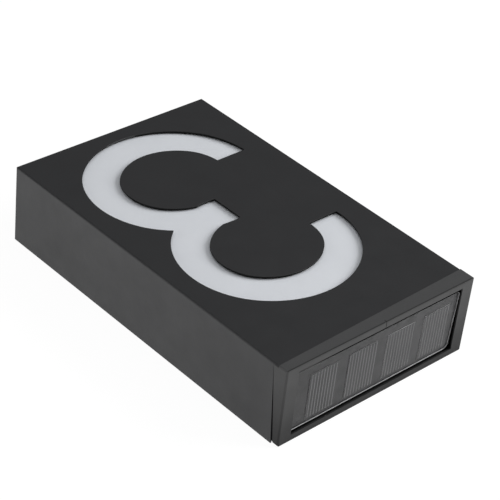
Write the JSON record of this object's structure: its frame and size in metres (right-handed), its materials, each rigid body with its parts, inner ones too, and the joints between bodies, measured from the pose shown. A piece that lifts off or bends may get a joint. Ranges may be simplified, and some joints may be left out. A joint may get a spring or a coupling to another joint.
{
  "type": "illuminated house number sign",
  "caption": "solar powered house number sign: folded box cover with a cut-out numeral over an opal diffuser, a solar panel in the end face, and a hook-on wall bracket",
  "frame": {"origin": "middle of the rear plane, where the sign meets the wall or the table it lies on", "axes": "+X to the numeral's right, +Y towards the numeral's top and the solar end, +Z out of the numeral face"},
  "size_m": [0.1234, 0.2, 0.0444],
  "materials": {
    "cover_powder_coat": "fine matt anthracite powder coat",
    "frame_powder_coat": "fine satin anthracite powder coat",
    "zinc_steel": "zinc plated sheet",
    "screw_steel": "zinc plated",
    "spring_steel": "nickel plated",
    "opal_acrylic": "opal, satin surface",
    "white_plastic": "moulded, matt white",
    "black_plastic": "moulded, fine grain",
    "grey_plastic": "moulded, fine grain",
    "foam": "closed cell foam",
    "rubber": "matt",
    "strip_aluminium": "white solder mask on aluminium",
    "led_package": "phosphor in a white package",
    "lead_jacket": "soft wire jacket",
    "clear_resin": "clear cast resin",
    "silicon": "silicon cell with silver fingers",
    "panel_laminate": "black circuit laminate",
    "circuit_board": "green solder mask",
    "battery_sleeve": "plain shrink sleeve",
    "contact_brass": "plated"
  },
  "bodies": {
    "sign": {"front_cover": "cover_powder_coat", "cover_tabs": "zinc_steel", "solar_frame": "frame_powder_coat", "frame_tabs": "zinc_steel", "numeral_diffuser": "opal_acrylic", "diffuser_gasket": "foam", "reflector_tray": "white_plastic", "tray_screws": "screw_steel", "light_strips": "strip_aluminium", "leds": "led_package", "led_leads": "lead_jacket", "solar_resin": "clear_resin", "solar_cells": "silicon", "panel_board": "panel_laminate", "panel_foam": "foam", "panel_holder": "black_plastic", "holder_screws": "screw_steel", "panel_leads": "lead_jacket", "back_plate": "grey_plastic", "back_plate_screws": "screw_steel", "wall_buffers": "rubber", "control_board": "circuit_board", "board_components": "black_plastic", "board_screws": "screw_steel", "battery_box": "black_plastic", "battery": "battery_sleeve", "battery_contacts": "contact_brass", "battery_spring": "spring_steel", "battery_leads": "lead_jacket", "door_hinge_pins": "screw_steel", "door_insert": "contact_brass", "switch_body": "zinc_steel", "switch_screws": "screw_steel", "switch_leads": "lead_jacket"},
    "door": {"battery_door": "grey_plastic", "door_gasket": "rubber", "door_screw": "screw_steel"},
    "knob": {"switch_knob": "black_plastic"},
    "bracket": {"wall_bracket": "zinc_steel"}
  },
  "joints": [
    {"name": "bracket_unhook", "type": "slide", "parent": "sign", "child": "bracket", "axis": [0, -1, 0], "range_m": [0, 0.007]},
    {"name": "battery_door_hinge", "type": "hinge", "parent": "sign", "child": "door", "pos_m": [0, -0.0622, 0.0037], "axis": [-1, 0, 0], "range_deg": [0, 110]},
    {"name": "switch_slide", "type": "slide", "parent": "sign", "child": "knob", "axis": [1, 0, 0], "range_m": [0, 0.004]}
  ]
}
